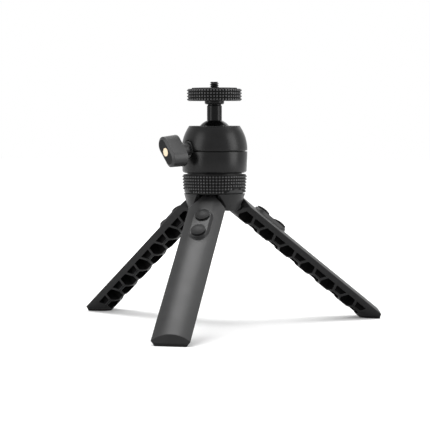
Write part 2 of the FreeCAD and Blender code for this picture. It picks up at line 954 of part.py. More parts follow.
def leg_section():
    # Looking along the leg as (across, outward): crowned outside, tapered flanks, round nose
    crown = named("crown_radius")
    nose = named("nose_radius")
    edge = pivot_depth - crown + other_side(crown, leg_half)
    centre = pivot_depth - leg_depth + nose
    drop = edge - centre
    far = root(leg_half * leg_half + drop * drop)
    tangent = other_side(far, nose)
    # the flank leaves the edge and touches the nose circle; its touching point from the centre
    along = nose * nose / far
    aside = nose * tangent / far
    touch_x = (along * leg_half + aside * drop) / far
    touch_z = centre + (along * drop - aside * leg_half) / far
    return [
        (0, pivot_depth, crown), (-leg_half, edge), (-touch_x, touch_z, nose),
        (0, pivot_depth - leg_depth, nose), (touch_x, touch_z), (leg_half, edge, crown),
    ]


def make_leg():
    profile = leg_profile()
    profile[0] = profile[0] + (pivot_depth,)
    side = extrusion("leg_side", profile, leg_half, turn=(0, 0, 90), back=leg_half)
    bar = extrusion(
        "leg_bar", leg_section(), leg_length * SPARE, at=(-pivot_depth * 2, 0, 0), turn=(90, 0, 90))
    neck = named("neck_width") / 2
    head = named("head_width") / 2
    head_start = named("head_start")
    neck_start = named("neck_start")
    neck_end = named("neck_length")
    back = pivot_depth * 2
    far = leg_length * SPARE
    plan = [
        (-back, -head), (head_start, -head), (neck_start, -neck), (neck_end, -leg_half), (far, -leg_half),
        (far, leg_half), (neck_end, leg_half), (neck_start, neck), (head_start, head), (-back, head),
    ]
    top = extrusion("leg_plan", plan, back, back=back)
    # the shoulders are hollow round the pin, so that they pass the hub's ears when the leg folds
    rooms = [
        cylinder(name, named("hinge_room"), leg_half, at=(0, start, 0), turn=(0, 0, -90))
        for name, start in (("left_room", knuckle_half), ("right_room", -knuckle_half - leg_half))
    ]
    knuckle = cylinder(
        "leg_knuckle", named("knuckle_radius"), knuckle_half * 2, at=(0, -knuckle_half, 0),
        turn=(0, 0, -90))
    shaped = common("leg_shaped", [side, bar, top])
    blank = cut("leg_blank", shaped, joined("hinge_rooms", rooms, "Part::Compound"))
    boss_foot = pivot_depth - named("boss_height")
    boss = extrusion(
        "leg_boss", stadium(named("boss_length"), named("boss_width")),
        named("boss_height") * 2, at=(named("boss_centre"), 0, boss_foot), taper=-named("boss_taper"))
    return joined("leg_solid", [blank, knuckle, boss])


def make_pockets():
    side = named("cell_side")
    pitch = side * 3
    row_step = side * math.sin(math.radians(60))
    hole = side - named("rib") / math.sqrt(3)
    floor = pivot_depth - named("skin")
    depth = leg_depth
    span = named("pocket_end") - named("pocket_start") - side * 2
    prisms = []
    for row in range(POCKET_ROWS):
        across = row_step * (row - POCKET_ROWS // 2)
        stagger = as_size(0) if row % 2 else pitch / 2
        shift = side + stagger
        count = int((span.number - stagger.number) / pitch.number) + 1
        for index in range(count):
            prism = doc.addObject("Part::Prism", f"pocket_{row + 1}_{index + 1}")
            prism.Polygon = 6
            bind(prism, Circumradius=hole, Height=depth)
            place(prism, at=(named("pocket_start") + shift + pitch * index, across, floor - depth))
            prisms.append(prism)
    field = joined("pocket_field", prisms, "Part::Compound")
    band = named("pocket_band")
    limit = block(
        "pocket_limit", leg_length, band, depth * 3, at=(0, -band / 2, floor - depth * 2))
    return common("pockets", [field, limit])


def make_foot_slab():
    # The layer of the foot that stands on the floor, between two level planes
    thickness = named("sole_thickness")
    length = leg_length
    slab = block("sole_slab", length, named("leg_width") * 2, thickness)
    # the floor below the pin, and the level way outwards, in the leg's own frame
    drop_x = pivot_z * sine(slope)
    drop_z = -pivot_z * cosine(slope)
    start = length / 2
    place(slab, (drop_x + start * cosine(slope), -named("leg_width"), drop_z + start * sine(slope)),
          (0, -slope, 0))
    return slab


def make_legs():
    solid = make_leg()
    slab = make_foot_slab()
    pin_hole = cylinder(
        "leg_pin_hole", named("pin_radius") + named("pin_play"), slot_half * 2,
        at=(0, -slot_half, 0), turn=(0, 0, -90))
    cutter = joined("leg_cutter", [make_pockets(), pin_hole, slab], "Part::Compound")
    leg = cut("leg_1", solid, cutter)
    pad = common("foot_pad_1", [solid, slab])
    return leg, pad


def make_washers():
    length = slot_half * 2
    outer = cylinder("washer_tube", named("knuckle_radius"), length, at=(0, -slot_half, 0), turn=(0, 0, -90))
    bore = cylinder(
        "washer_bore", named("pin_radius") + named("pin_play"), length, at=(0, -slot_half, 0),
        turn=(0, 0, -90))
    middle = cylinder(
        "washer_middle", named("knuckle_radius") * 2, knuckle_half * 2, at=(0, -knuckle_half, 0),
        turn=(0, 0, -90))
    return cut("hinge_washers_1", outer, joined("washer_cutter", [bore, middle]))


def make_keeper_studs():
    head = named("stud_head_radius")
    neck = named("stud_neck_radius")
    foot = pivot_depth + named("boss_height")
    rim = foot + named("stud_gap")
    top = rim + named("stud_dome")
    dome = (head * head + named("stud_dome") * named("stud_dome")) / (2 * named("stud_dome"))
    corners = [(0, foot), (neck, foot), (neck, rim), (head, rim, dome), (0, top)]
    studs = []
    for index in range(2):
        stud = turned(f"keeper_stud_{index + 1}", corners)
        offset = named("stud_spacing") * (index - 0.5)
        place(stud, at=(named("boss_centre") + offset, 0, 0))
        studs.append(stud)
    return joined("keeper_studs_1", studs, "Part::Compound")


def at_leg(thing, azimuth):
    place(thing, polar(pivot_radius, azimuth, pivot_z), (azimuth, slope, 0))


def make_leg_sets():
    leg, pad = make_legs()
    first = {
        "leg": leg,
        "foot_pad": pad,
        "hinge_washers": make_washers(),
        "keeper_studs": make_keeper_studs(),
    }
    for index, azimuth in LEGS.items():
        for name, source in first.items():
            label = f"{name}_{index}"
            piece = source if index == 1 else copied(label, source)
            at_leg(piece, azimuth)
            subpart(label, piece)
        subpart(f"hinge_pin_{index}", pin_at(f"hinge_pin_{index}", azimuth, named("pin_radius")))


make_ball_stem()
make_camera_stud()
make_lock_wheel()
make_camera_pad()
shell_cutter = knob_cutter()
make_lower_housing(shell_cutter)
make_upper_housing(shell_cutter)
make_ball_seat_ring()
make_ball_cup()
make_cup_spring()
make_lock_knob()
make_lock_screw()
make_lock_bush()
make_friction_shoe()
make_knurled_collar()
make_hub()
make_head_bolt()
make_collar_screws()
make_leg_sets()
doc.recompute()


# Every object is checked before anything is written

faults = []
for thing in doc.Objects:
    if "Invalid" in thing.State or "Error" in thing.State:
        faults.append(f"{thing.Name} is {thing.State}")
for thing in subparts:
    shape = thing.Shape
    if shape.isNull() or not shape.isValid() or not shape.Solids:
        faults.append(f"{thing.Label} has no valid solid")
if faults:
    raise RuntimeError("; ".join(faults))

for thing in subparts:
    box = thing.Shape.BoundBox
    print(f"{thing.Label}: {len(thing.Shape.Solids)} solid, {thing.Shape.Volume:.1f} mm3, "
          f"{box.XMin:.2f} {box.YMin:.2f} {box.ZMin:.2f} to {box.XMax:.2f} {box.YMax:.2f} {box.ZMax:.2f}")
    thing.Shape.exportStep(f"parts/{thing.Label}.step")
print(f"pivot height {pivot_z.number:.4f}, ball centre {ball_z.number:.4f}, pad top {pad_top.number:.4f}, "
      f"stud top {stud_top.number:.4f}, knob axis {knob_z.number:.4f}")
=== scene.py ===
import json
import math

import bmesh
import bpy
from mathutils import Matrix, Vector


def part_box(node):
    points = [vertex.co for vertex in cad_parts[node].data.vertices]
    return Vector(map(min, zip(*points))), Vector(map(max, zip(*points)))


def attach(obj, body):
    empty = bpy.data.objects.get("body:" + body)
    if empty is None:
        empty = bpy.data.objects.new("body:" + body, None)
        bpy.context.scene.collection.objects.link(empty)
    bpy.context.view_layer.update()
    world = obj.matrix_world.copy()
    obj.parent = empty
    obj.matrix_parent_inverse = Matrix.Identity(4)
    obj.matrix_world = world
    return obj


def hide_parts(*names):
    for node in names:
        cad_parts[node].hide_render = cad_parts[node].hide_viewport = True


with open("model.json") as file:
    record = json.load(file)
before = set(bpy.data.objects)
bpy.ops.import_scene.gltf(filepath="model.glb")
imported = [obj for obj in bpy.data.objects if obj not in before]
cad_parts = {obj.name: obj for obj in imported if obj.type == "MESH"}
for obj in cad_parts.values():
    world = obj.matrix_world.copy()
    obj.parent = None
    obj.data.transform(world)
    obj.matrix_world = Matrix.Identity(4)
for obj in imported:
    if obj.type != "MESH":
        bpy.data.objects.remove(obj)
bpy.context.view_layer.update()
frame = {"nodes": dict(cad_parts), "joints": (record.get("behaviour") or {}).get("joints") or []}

scene = bpy.context.scene
nodes = frame["nodes"]
joints = {joint["name"]: joint for joint in frame["joints"]}
mm = 0.001
print("frame loaded:", len(nodes), "nodes")


def linked(name, data):
    thing = bpy.data.objects.new(name, data)
    scene.collection.objects.link(thing)
    return thing


def meshFrom(name, bm):
    mesh = bpy.data.meshes.new(name)
    bm.to_mesh(mesh)
    bm.free()
    return mesh


# Camera and studio light

cameraSettings = {
    "azimuth": 13.549,        # degrees from the front of leg 1, to the right
    "distance": 1.1293,
    "height": 0.1439,
    "pitch": 3.492,
    "roll": -0.14,
    "lens": 137.39,
    "sensor": 36.0,
    "shiftX": 0.00072,
    "clipStart": 0.05,
    "clipEnd": 50.0,
}


def placeCamera(settings):
    data = bpy.data.cameras.new("camera")
    data.lens = settings["lens"]
    data.sensor_width = settings["sensor"]
    data.sensor_fit = "HORIZONTAL"
    data.shift_x = settings["shiftX"]
    data.clip_start = settings["clipStart"]
    data.clip_end = settings["clipEnd"]
    data.dof.use_dof = False
    camera = linked("camera", data)
    turn = math.radians(settings["azimuth"])
    tilt = math.radians(90 - settings["pitch"])
    roll = math.radians(settings["roll"])
    reach = settings["distance"]
    spot = Vector((math.sin(turn) * reach, -math.cos(turn) * reach, settings["height"]))
    aim = Matrix.Rotation(turn, 4, "Z") @ Matrix.Rotation(tilt, 4, "X")
    camera.matrix_world = Matrix.Translation(spot) @ aim @ Matrix.Rotation(roll, 4, "Z")
    scene.camera = camera


lampSettings = {
    # name: place, aim, width, height, watts
    "boxRight": ((1.0, -0.10, 0.43), (0, 0, 0.10), 0.55, 0.85, 8.0),
    "boxLeft": ((-0.72, -0.69, 0.43), (0, 0, 0.10), 0.50, 0.85, 5.6),
    "overhead": ((-0.22, 0.12, 1.30), (0, 0, 0.05), 0.50, 0.8, 14.5),
    "overheadRight": ((0.50, 0.20, 1.20), (0, 0, 0.05), 0.45, 0.7, 3.5),
    "behind": ((0.0, 1.2, 0.8), (0, 0, 0.1), 1.2, 0.6, 2.5),
}


def placeLamps(settings):
    for name, (spot, aim, width, height, watts) in settings.items():
        data = bpy.data.lights.new(name, "AREA")
        data.shape = "RECTANGLE"
        data.size = width
        data.size_y = height
        data.energy = watts
        way = Vector(aim) - Vector(spot)
        turn = way.to_track_quat("-Z", "Y").to_matrix().to_4x4()
        linked(name, data).matrix_world = Matrix.Translation(Vector(spot)) @ turn


placeCamera(cameraSettings)
placeLamps(lampSettings)
scene.view_settings.view_transform = "Standard"
print("camera and lamps placed")


# Shader maths: a wire wraps one socket, so that sums read as they are meant

class Wire:
    def __init__(self, tree, socket):
        self.tree = tree
        self.socket = socket

    @classmethod
    def node(cls, tree, kind, settings, inputs, output=0):
        # Any node, from its type, its settings and what its sockets get
        made = tree.nodes.new(kind)
        for name, value in settings.items():
            if name == "stops":
                elements = made.color_ramp.elements
                while len(elements) < len(value):
                    elements.new(0.5)
                for element, (position, level) in zip(elements, value):
                    element.position = position
                    element.color = (level, level, level, 1)
            else:
                setattr(made, name, value)
        for name, value in inputs.items():
            socket = made.inputs[name]
            if isinstance(value, cls):
                tree.links.new(value.socket, socket)
            else:
                socket.default_value = value
        return cls(tree, made.outputs[output] if made.outputs else None)

    def combine(self, operation, first, second):
        settings = {"operation": operation}
        return Wire.node(self.tree, "ShaderNodeMath", settings, {0: first, 1: second})

    def __add__(self, other):
        return self.combine("ADD", self, other)

    __radd__ = __add__

    def __mul__(self, other):
        return self.combine("MULTIPLY", self, other)

    __rmul__ = __mul__

    def __sub__(self, other):
        return self.combine("SUBTRACT", self, other)

    def __rsub__(self, other):
        return self.combine("SUBTRACT", other, self)


black = (0, 0, 0, 1)
white = (1, 1, 1, 1)


def newMaterial(name):
    material = bpy.data.materials.new(name)
    material.use_nodes = True
    tree = material.node_tree
    tree.nodes.clear()
    return material, tree


def objectPoint(tree):
    return Wire.node(tree, "ShaderNodeTexCoord", {}, {}, "Object")


def noise(tree, point, scale, detail=2.0):
    inputs = {"Vector": point, "Scale": scale, "Detail": detail}
    return Wire.node(tree, "ShaderNodeTexNoise", {}, inputs, "Fac")


def paperSeen(tree):
    # One where the camera, a reflection or a clear piece looks at the white paper
    rays = ("Is Camera Ray", "Is Glossy Ray", "Is Transmission Ray")
    camera, glossy, through = [Wire.node(tree, "ShaderNodeLightPath", {}, {}, ray) for ray in rays]
    return camera + glossy + through


def mixColors(tree, factor, first, second):
    inputs = {0: factor, 6: first, 7: second}
    return Wire.node(tree, "ShaderNodeMix", {"data_type": "RGBA"}, inputs, 2)


def ramp(tree, value, stops):
    return Wire.node(tree, "ShaderNodeValToRGB", {"stops": stops}, {"Fac": value}, "Color")


def bumpFrom(tree, height, strength, depth):
    inputs = {"Strength": strength, "Distance": depth * mm, "Height": height}
    return Wire.node(tree, "ShaderNodeBump", {}, inputs, "Normal")


def coatAll(tree, inputs):
    # One shader for the whole surface, from what its sockets get
    shader = Wire.node(tree, "ShaderNodeBsdfPrincipled", {}, inputs, "BSDF")
    Wire.node(tree, "ShaderNodeOutputMaterial", {}, {"Surface": shader})


finishes = {
    # name: dark colour, light colour, roughness, its spread,
    #       grain scale, grain depth in mm, specular level
    "legPlastic": (0.014, 0.019, 0.38, 0.06, 2600, 0.010, 0.20),
    # Painted shade deep in the honeycomb pockets
    "pocketPaintedShade": (0.003, 0.004, 0.70, 0.06, 2200, 0.010, 0.05),
    "studPlastic": (0.009, 0.013, 0.50, 0.06, 2200, 0.006, 0.16),
    "soleRubber": (0.008, 0.012, 0.72, 0.08, 1800, 0.020, 0.18),
    "padRubber": (0.004, 0.006, 0.80, 0.06, 1800, 0.020, 0.12),
    "housingMetal": (0.006, 0.009, 0.30, 0.04, 3200, 0.004, 0.17),
    "hubMetal": (0.009, 0.013, 0.42, 0.06, 2400, 0.008, 0.22),
    # The knurl's teeth, lighter than the same metal elsewhere: a painted highlight
    "knurlPaintedHighlight": (0.033, 0.043, 0.34, 0.07, 3000, 0.003, 0.46),
    # Painted shade for the knurl's grooves, between the teeth
    "knurlGroovePaintedShade": (0.002, 0.003, 0.60, 0.04, 2400, 0.003, 0.10),
    "knobPlastic": (0.015, 0.021, 0.44, 0.06, 2600, 0.006, 0.38),
    # Painted shade on the lock knob's end face
    "knobEndPaintedShade": (0.005, 0.007, 0.55, 0.04, 2600, 0.006, 0.12),
    "ballGloss": (0.002, 0.003, 0.24, 0.05, 900, 0.001, 0.13),
    "studSteel": (0.004, 0.007, 0.30, 0.08, 2400, 0.002, 0.30),
    "nylon": (0.62, 0.68, 0.45, 0.06, 1500, 0.004, 0.45),
}

grainSettings = {
    "cloudScale": 120,        # a slow change of tone, under the fine grain
    "cloudDetail": 3.0,
    "cloudShare": 0.7,
    "grainShare": 0.3,
    "stops": [(0.35, 0.0), (0.65, 1.0)],
    "darkBlue": 1.03,         # a trace of blue in both colours
    "lightBlue": 1.02,
    "strength": 0.6,
}


def grainFinish(name, settings):
    dark, light, rough, spread, scale, depth, specular = finishes[name]
    material, tree = newMaterial(name)
    point = objectPoint(tree)
    grain = noise(tree, point, scale)
    cloud = noise(tree, point, settings["cloudScale"], settings["cloudDetail"])
    tone = cloud * settings["cloudShare"] + grain * settings["grainShare"]
    shade = ramp(tree, tone, settings["stops"])
    deep = (dark, dark, dark * settings["darkBlue"], 1)
    pale = (light, light, light * settings["lightBlue"], 1)
    coatAll(tree, {
        "Base Color": mixColors(tree, shade, deep, pale),
        "Roughness": rough + (cloud - 0.5) * spread * 2 + (grain - 0.5) * spread,
        "Specular IOR Level": specular,
        "Normal": bumpFrom(tree, grain, settings["strength"], depth),
    })
    return material


metals = {
    # name: dark colour, light colour, roughness, how metallic
    "brass": ((0.92, 0.70, 0.46, 1), (1.0, 0.86, 0.64, 1), 0.40, 0.30),
    "steel": ((0.36, 0.36, 0.37, 1), (0.52, 0.52, 0.53, 1), 0.28, 1.0),
}

metalSettings = {
    "cloudScale": 400,
    "cloudDetail": 3.0,
    "spread": 0.2,
    "strength": 0.4,
    "depth": 0.002,
}


def bareMetal(name, settings):
    dark, light, rough, metallic = metals[name]
    material, tree = newMaterial(name)
    cloud = noise(tree, objectPoint(tree), settings["cloudScale"], settings["cloudDetail"])
    coatAll(tree, {
        "Base Color": mixColors(tree, cloud, dark, light),
        "Metallic": metallic,
        "Roughness": rough + (cloud - 0.5) * settings["spread"],
        "Normal": bumpFrom(tree, cloud, settings["strength"], settings["depth"]),
    })
    return material


materials = {name: grainFinish(name, grainSettings) for name in finishes}
materials.update({name: bareMetal(name, metalSettings) for name in metals})
print("materials made:", len(materials))


# Floor and surroundings

floorSettings = {
    "half": 4.0,
    "color": 0.64,
    "lift": 0.40,             # the paper's glow close to the tripod
    "farLift": 1.0,           # and further out, where it is plain white
    "near": 0.20,
    "far": 0.55,
    "shadeReach": 0.100,      # how far from the feet the glow is held back, a painted contact shadow
    "shadeDeep": 0.05,
    "shadeEnd": 0.9,
}


def makeFloor(settings):
    bm = bmesh.new()
    bmesh.ops.create_grid(bm, x_segments=1, y_segments=1, size=settings["half"])
    floor = linked("floor", meshFrom("floor", bm))
    material, tree = newMaterial("floorPaper")
    shade = settings["color"]
    diffuse = Wire.node(tree, "ShaderNodeBsdfDiffuse", {}, {"Color": (shade, shade, shade, 1)})
    seen = paperSeen(tree)
    length = {"operation": "LENGTH"}
    reach = Wire.node(tree, "ShaderNodeVectorMath", length, {0: objectPoint(tree)}, "Value")
    inputs = {
        "Value": reach, "From Min": settings["near"], "From Max": settings["far"],
        "To Min": settings["lift"], "To Max": settings["farLift"]}
    smooth = {"interpolation_type": "SMOOTHSTEP"}
    lift = Wire.node(tree, "ShaderNodeMapRange", smooth, inputs, "Result")
    # Ambient occlusion darkens the paper's glow by the feet: a painted contact shadow
    inputs = {"Distance": settings["shadeReach"]}
    clear = Wire.node(tree, "ShaderNodeAmbientOcclusion", {}, inputs, "AO")
    paintedShadow = ramp(tree, clear, [(0.0, settings["shadeDeep"]), (settings["shadeEnd"], 1.0)])
    tone = mixColors(tree, lift * paintedShadow, black, white)
    glow = Wire.node(tree, "ShaderNodeEmission", {}, {"Color": tone})
    bright = Wire.node(tree, "ShaderNodeAddShader", {}, {0: diffuse, 1: glow})
    paper = Wire.node(tree, "ShaderNodeMixShader", {}, {0: seen, 1: diffuse, 2: bright})
    Wire.node(tree, "ShaderNodeOutputMaterial", {}, {"Surface": paper})
    floor.data.materials.append(material)


worldSettings = {"seen": 1.0, "light": 0.14}


def makeWorld(settings):
    world = bpy.data.worlds.new("studio")
    world.use_nodes = True
    tree = world.node_tree
    tree.nodes.clear()
    seen = paperSeen(tree)
    light, paper = [
        Wire.node(tree, "ShaderNodeBackground", {}, {"Color": white, "Strength": settings[level]})
        for level in ("light", "seen")]
    both = Wire.node(tree, "ShaderNodeMixShader", {}, {0: seen, 1: light, 2: paper})
    Wire.node(tree, "ShaderNodeOutputWorld", {}, {"Surface": both})
    scene.world = world


makeFloor(floorSettings)
makeWorld(worldSettings)
print("floor and world made")


# Mesh helpers; shapes are drawn in millimetres and scaled once, when the piece is made

def levels(name):
    # A node's lowest and highest level
    return [(corner / mm).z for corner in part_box(name)]


def arcPoints(centre, radius, start, end, count):
    # Points (across, up) on an arc; the angles are in degrees from the level
    points = []
    for index in range(count + 1):
        angle = math.radians(start + (end - start) * index / count)
        across = centre[0] + radius * math.cos(angle)
        points.append((across, centre[1] + radius * math.sin(angle)))
    return points


def drawLine(bm, points, closed=False):
    verts = [bm.verts.new((across, 0, up)) for across, up in points]
    pairs = list(zip(verts, verts[1:]))
    if closed:
        pairs.append((verts[-1], verts[0]))
    return verts + [bm.edges.new(pair) for pair in pairs]


def spun(points, steps=96, closed=True, weld=0.0005):
    # A turned shape from its half section, which stays open where it ends on the axis
    bm = bmesh.new()
    bmesh.ops.spin(
        bm, geom=drawLine(bm, points, closed), cent=(0, 0, 0), axis=(0, 0, 1), angle=math.tau,
        steps=steps, use_merge=True)
    bmesh.ops.remove_doubles(bm, verts=bm.verts, dist=weld)
    bmesh.ops.recalc_face_normals(bm, faces=bm.faces)
    return bm


def bevelled(bm, edges, width, segments, clamp=True):
    return bmesh.ops.bevel(
        bm, geom=edges, offset=width, offset_type="OFFSET", segments=segments, profile=0.5,
        affect="EDGES", material=-1, clamp_overlap=clamp)


def soften(bm, width, segments=2, angle=28, clamp=True):
    # Rounds every edge that is sharper than the angle
    limit = math.radians(angle)
    edges = [
        edge for edge in bm.edges
        if len(edge.link_faces) == 2 and edge.calc_face_angle() > limit]
    bevelled(bm, edges, width, segments, clamp)


def place(bm, matrix):
    bmesh.ops.transform(bm, matrix=matrix, verts=bm.verts)


def addShape(bm, other):
    mesh = meshFrom("part", other)
    bm.from_mesh(mesh)
    bpy.data.meshes.remove(mesh)


def carved(bm, tool):
    # The first shape less the second
    blank = linked("blank", meshFrom("blank", bm))
    knife = linked("knife", meshFrom("knife", tool))
    carving = blank.modifiers.new("carving", "BOOLEAN")
    carving.operation = "DIFFERENCE"
    carving.solver = "EXACT"
    carving.object = knife
    depsgraph = bpy.context.evaluated_depsgraph_get()
    mesh = bpy.data.meshes.new_from_object(blank.evaluated_get(depsgraph))
    result = bmesh.new()
    result.from_mesh(mesh)
    for spare in (blank.data, knife.data, mesh):
        bpy.data.meshes.remove(spare)
    return result


def merged(name, flat=0.3, weld=0.002):
    # A merged copy of a frame node's mesh, in millimetres, with its flat faces made whole
    bm = bmesh.new()
    bm.from_mesh(nodes[name].data)
    bmesh.ops.scale(bm, vec=(1 / mm, 1 / mm, 1 / mm), verts=bm.verts)
    bmesh.ops.remove_doubles(bm, verts=bm.verts, dist=weld)
    bmesh.ops.dissolve_limit(
        bm, angle_limit=math.radians(flat), use_dissolve_boundaries=False, verts=bm.verts,
        edges=bm.edges)
    return bm


def makePiece(name, bm, finish, body, node, sharp=32):
    bmesh.ops.scale(bm, vec=(mm, mm, mm), verts=bm.verts)
    mesh = meshFrom(name, bm)
    for face in mesh.polygons:
        face.use_smooth = True
    mesh.set_sharp_from_angle(angle=math.radians(sharp))
    mesh.materials.append(materials[finish])
    piece = linked(name, mesh)
    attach(piece, body)
    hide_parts(node)
    return piece


def addFinishes(piece, *names):
    # Further finishes, for the faces whose material index is 1 and up
    for name in names:
        piece.data.materials.append(materials[name])
    return piece


def evenShading(piece):
    shading = piece.modifiers.new("evenShading", "WEIGHTED_NORMAL")
    shading.keep_sharp = True


# Ball with its neck and flange

ballSettings = {
    "radius": 13.0,
    "neckRadius": 5.125,
    "neckSlope": 0.5,
    "throatRadius": 4.6,
    "throatHeight": 0.5,
    "flangeRadius": 6.7,
    "flangeHeight": 2.4,
    "flangeRound": 1.1,
    "rimChamfer": 0.15,
    "boreRadius": 3.205,
    "boreDepth": 10.3,
    "ballSteps": 48,
    "roundSteps": 4,
}

ballHeight = joints["ball_pan"]["pos_m"][2] / mm


def makeBall(settings):
    top = levels("ball_stem")[1]
    throatTop = top - settings["flangeHeight"]
    neckTop = throatTop - settings["throatHeight"]
    radius = settings["radius"]
    neck = settings["neckRadius"]
    throat = settings["throatRadius"]
    flange = settings["flangeRadius"]
    bend = settings["flangeRound"]
    chamfer = settings["rimChamfer"]
    bore = settings["boreRadius"]
    floor = top - settings["boreDepth"]
    shoulder = math.degrees(math.acos(neck / radius))
    points = arcPoints((0, ballHeight), radius, -90, shoulder, settings["ballSteps"])
    points += [(neck, neckTop - settings["neckSlope"]), (throat, neckTop), (throat, throatTop)]
    points += arcPoints((flange - bend, throatTop + bend), bend, -90, 0, settings["roundSteps"])
    points += [(flange, top - chamfer), (flange - chamfer, top)]
    points += [(bore, top), (bore, floor), (0, floor)]
    bm = spun(points, closed=False)
    makePiece("ballStem", bm, "ballGloss", "ball", "ball_stem", sharp=24)


makeBall(ballSettings)


# Camera screw with a real helix, cut to length at both ends

screwSettings = {
    "radius": 3.175,
    "rootRadius": 2.25,
    "pitch": 1.27,
    "flat": 0.12,
    "steps": 40,
    "leadIn": 0.75,
    "weld": 0.001,
    "cutReach": 0.0001,
}


def makeCameraScrew(settings):
    foot, top = levels("camera_stud")
    pitch = settings["pitch"]
    flat = settings["flat"]
    root = settings["rootRadius"]
    crest = settings["radius"]
    flank = (pitch - flat * 2) / 2
    bm = bmesh.new()
    points = []
    height = foot - pitch * 2     # one turn more than the helix climbs
    while height < top + pitch:
        points += [(root, height), (root, height + flat)]
        points += [(crest, height + flat + flank), (crest, height + flat * 2 + flank)]
        height += pitch
    points.append((root, height))
    steps = settings["steps"]
    bmesh.ops.spin(
        bm, geom=drawLine(bm, points), cent=(0, 0, 0), axis=(0, 0, 1), dvec=(0, 0, pitch / steps),
        angle=math.tau, steps=steps)
    bmesh.ops.remove_doubles(bm, verts=bm.verts, dist=settings["weld"])
    for level, way in ((top, 1), (foot, -1)):
        bmesh.ops.bisect_plane(
            bm, geom=list(bm.verts) + list(bm.edges) + list(bm.faces), dist=settings["cutReach"],
            plane_co=(0, 0, level), plane_no=(0, 0, way), clear_outer=True)
    rims = [edge for edge in bm.edges if edge.is_boundary]
    bmesh.ops.holes_fill(bm, edges=rims, sides=0)
    for vert in bm.verts:
        limit = crest - settings["leadIn"] + (top - vert.co.z)
        reach = vert.co.xy.length
        if reach > limit:
            vert.co.xy *= limit / reach
    bmesh.ops.recalc_face_normals(bm, faces=bm.faces)
    makePiece("cameraScrew", bm, "studSteel", "ball", "camera_stud", sharp=24)


makeCameraScrew(screwSettings)
print("ball and camera screw made")


# Knurled rims: rows of small rounded blocks on a plain rim

knurlSettings = {
    "pitch": 2.06,
    "groove": 0.78,
    "depth": 0.75,
    "sink": 0.35,             # how far a block's foot lies inside the rim
    "waist": 0.80,            # a block's outer face, as a share of its foot
    "round": 0.20,
    "roundSteps": 2,
    "sideTilt": 0.2,          # a face that leans less than this is the rim's side
    "rimSlack": 0.1,
}


def addBlocks(bm, count, radius, middle, knurl):
    # One row: a tapered, bevelled block, copied round the axis
    width = math.tau * radius / count - knurl["groove"]
    height = knurl["pitch"] - knurl["groove"]
    depth = knurl["depth"] + knurl["sink"]
    size = Matrix.Diagonal((depth, width, height, 1))
    spot = Matrix.Translation((radius - depth / 2, 0, middle))
    made = bmesh.ops.create_cube(bm, size=1, matrix=spot @ size)["verts"]
    outer = [vert for vert in made if vert.co.x > radius - depth / 2]
    waist = knurl["waist"]
    centred = Matrix.Translation((0, 0, -middle))
    bmesh.ops.scale(bm, vec=(1, waist, waist), verts=outer, space=centred)
    edges = {edge for vert in outer for edge in vert.link_edges}
    rounded = bevelled(bm, list(edges), knurl["round"], knurl["roundSteps"])
    faces = {face for vert in rounded["verts"] for face in vert.link_faces}
    faces |= {face for vert in made if vert.is_valid for face in vert.link_faces}
    verts = {vert for face in faces for vert in face.verts}
    edges = {edge for face in faces for edge in face.edges}
    bmesh.ops.spin(
        bm, geom=list(verts) + list(edges) + list(faces), cent=(0, 0, 0), axis=(0, 0, 1),
        angle=math.tau * (count - 1) / count, steps=count - 1, use_duplicate=True)


def knurledRows(settings, low, high, knurl):
    # The teeth take the piece's third finish, lighter than the rim: a painted highlight
    bm = bmesh.new()
    rows = settings["rows"]
    margin = (high - low - rows * knurl["pitch"]) / 2
    for row in range(rows):
        middle = low + margin + knurl["pitch"] * (row + 0.5)
        radius = settings["crest"] - settings["taper"] * (rows - 1 - row)
        addBlocks(bm, settings["teeth"], radius, middle, knurl)
    for face in bm.faces:
        face.material_index = 2
    return bm


def paintRimShade(bm, radius, knurl, smooth=lambda spot: False):
    # Between the teeth the rim's side takes the second finish, dark as painted shade in the
    # grooves
    bm.normal_update()
    for face in bm.faces:
        middle = face.calc_center_median()
        upright = abs(face.normal.z) < knurl["sideTilt"] and face.normal.dot(middle) > 0
        if upright and middle.xy.length > radius - knurl["rimSlack"] and not smooth(middle):
            face.material_index = 1


wheelSettings = {
    "crest": 18.8,
    "taper": 0,
    "teeth": 56,
    "rows": 4,
    "bore": 3.225,
    "recess": 15.8,
    "edge": 0.3,
}


def makeWheel(settings):
    low, high = levels("lock_wheel")
    floor = levels("camera_pad")[0]
    rim = settings["crest"] - knurlSettings["depth"]
    recess = settings["recess"]
    bore = settings["bore"]
    points = [(bore, low), (rim, low), (rim, high), (recess, high), (recess, floor), (bore, floor)]
    bm = spun(points)
    soften(bm, settings["edge"])
    paintRimShade(bm, rim, knurlSettings)
    addShape(bm, knurledRows(settings, low, high, knurlSettings))
    wheel = makePiece("lockWheel", bm, "hubMetal", "wheel", "lock_wheel", sharp=40)
    addFinishes(wheel, "knurlGroovePaintedShade", "knurlPaintedHighlight")


padSettings = {"bore": 4.0, "radius": 15.5, "edge": 0.3, "edgeSteps": 3}


def makePad(settings):
    low, high = levels("camera_pad")
    bore = settings["bore"]
    radius = settings["radius"]
    bm = spun([(bore, low), (radius, low), (radius, high), (bore, high)])
    soften(bm, settings["edge"], settings["edgeSteps"])
    makePiece("cameraPad", bm, "padRubber", "pad", "camera_pad")


collarSettings = {
    "crest": 22.2,
    "taper": 0.13,            # what each row down loses in radius
    "teeth": 64,
    "rows": 6,
    "lip": 18.8,
    "lipHeight": 1.2,
    "edge": 0.20,
    "footGroove": 0.55,       # a dark line between the collar and the ears
    "grooveDepth": 1.1,
    "boltHole": 3.03,
    "post": 7.5,
    "cavity": 17.0,
    "cavityFloor": 4.0,
    "ears": (-30, 90, 210),
    "windowHalf": 9.9,        # the smooth lens over each ear
    "windowRise": 3.3,
    "steps": 128,
}


